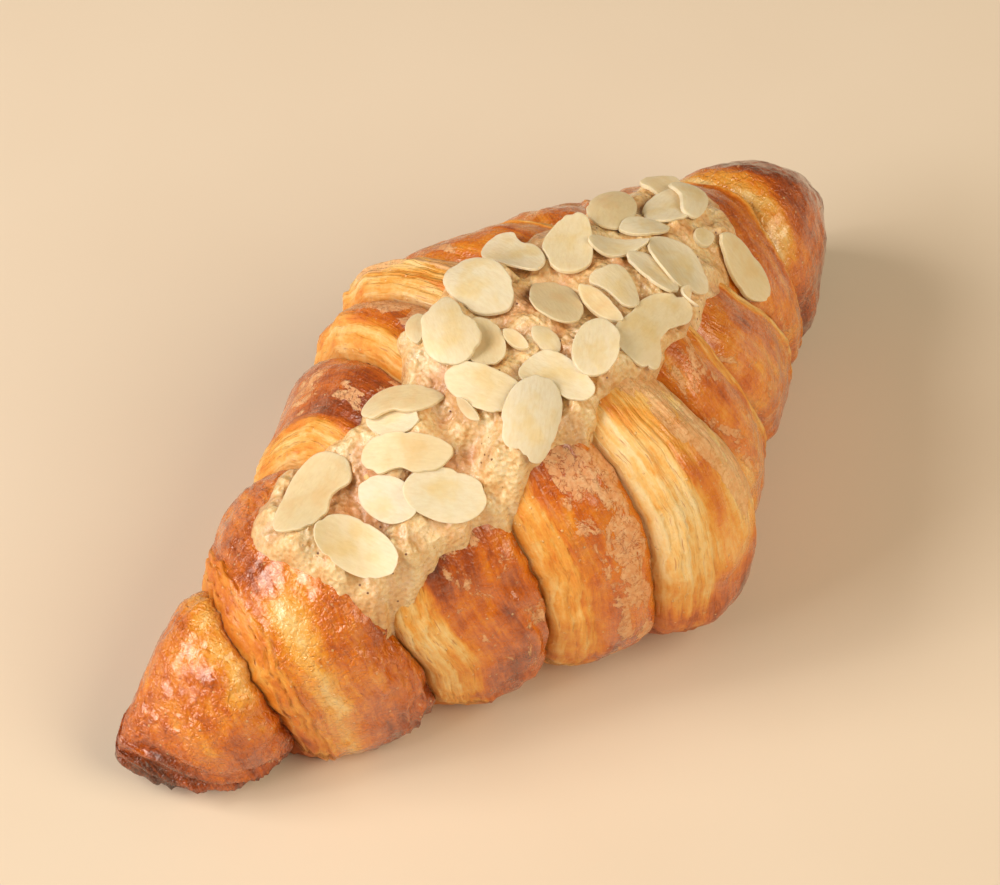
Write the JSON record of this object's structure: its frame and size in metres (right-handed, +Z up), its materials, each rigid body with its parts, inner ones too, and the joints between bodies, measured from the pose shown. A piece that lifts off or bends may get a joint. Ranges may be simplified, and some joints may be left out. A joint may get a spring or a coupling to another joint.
{
  "type": "almond croissant",
  "caption": "Baked almond croissant: a wrapped, layered pastry with almond cream along its ridge and flaked almonds on top, lying on its flat base.",
  "frame": {"origin": "middle of the footprint, on the surface that the croissant lies on", "axes": "+X along the croissant to the broader tip, +Y towards the side that both tips curve to, +Z up"},
  "size_m": [0.181, 0.0925, 0.0712],
  "materials": {
    "baked_pastry": "crisp baked laminated dough, egg-washed: glossy golden to deep brown crests, pale layered strips beside the seams",
    "almond_cream": "baked almond cream: pale, lumpy and grainy with small dark specks and a thin browned rim",
    "almond": "thin blanched almond flakes: ivory, satin and slightly translucent"
  },
  "bodies": {
    "root": {"pastry": "baked_pastry", "almond_cream": "almond_cream", "almond_flake_01": "almond", "almond_flake_02": "almond", "almond_flake_03": "almond", "almond_flake_04": "almond", "almond_flake_05": "almond", "almond_flake_06": "almond", "almond_flake_07": "almond", "almond_flake_08": "almond", "almond_flake_09": "almond", "almond_flake_10": "almond", "almond_flake_11": "almond", "almond_flake_12": "almond", "almond_flake_13": "almond", "almond_flake_14": "almond", "almond_flake_15": "almond", "almond_flake_16": "almond", "almond_flake_17": "almond", "almond_flake_18": "almond", "almond_flake_19": "almond", "almond_flake_20": "almond", "almond_flake_21": "almond", "almond_flake_22": "almond", "almond_flake_23": "almond", "almond_flake_24": "almond", "almond_flake_25": "almond", "almond_flake_26": "almond", "almond_flake_27": "almond", "almond_flake_28": "almond", "almond_flake_29": "almond", "almond_flake_30": "almond", "almond_flake_31": "almond", "almond_flake_32": "almond", "almond_flake_33": "almond", "almond_flake_34": "almond", "almond_flake_35": "almond"}
  },
  "joints": []
}
